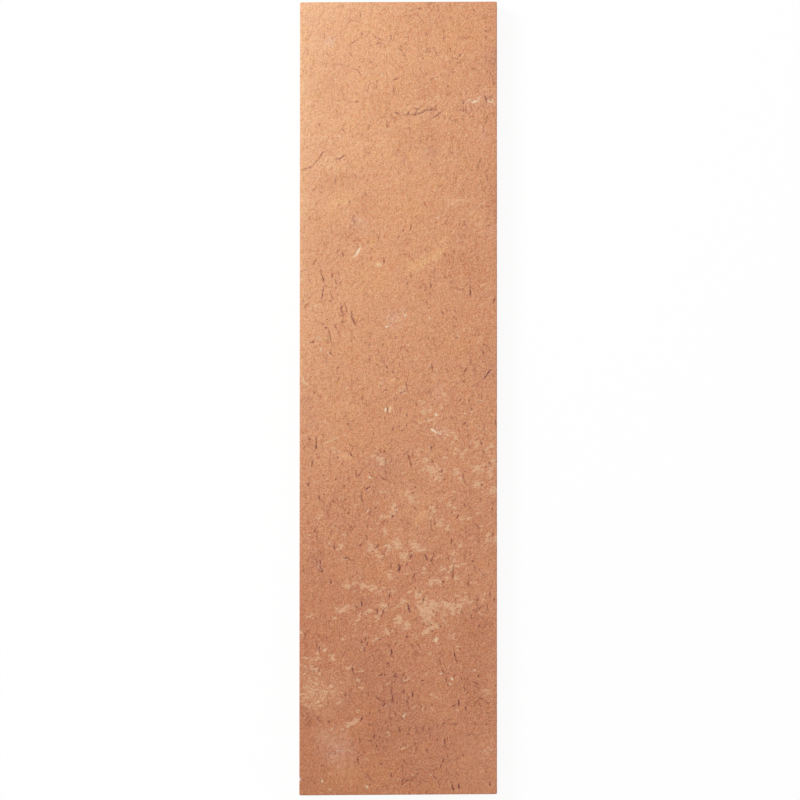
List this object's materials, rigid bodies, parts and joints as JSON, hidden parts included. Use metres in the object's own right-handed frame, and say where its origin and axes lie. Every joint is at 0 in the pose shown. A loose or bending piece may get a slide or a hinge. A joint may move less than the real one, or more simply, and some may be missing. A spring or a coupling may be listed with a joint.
{
  "type": "ceramic tile",
  "caption": "Long, narrow terracotta-coloured ceramic tile with a sandy, pitted face, rounded arris and a lattice of keying ribs on its back, for bonding to a floor or wall.",
  "frame": {"origin": "middle of the plane that the ribs of the back stand on", "axes": "+X across the tile, +Y along it, +Z out of the face"},
  "size_m": [0.07, 0.281, 0.01],
  "materials": {
    "terracotta": "matt, unglazed, sandy face with small pits and pale flecks"
  },
  "bodies": {
    "root": {"tile": "terracotta"}
  },
  "joints": []
}
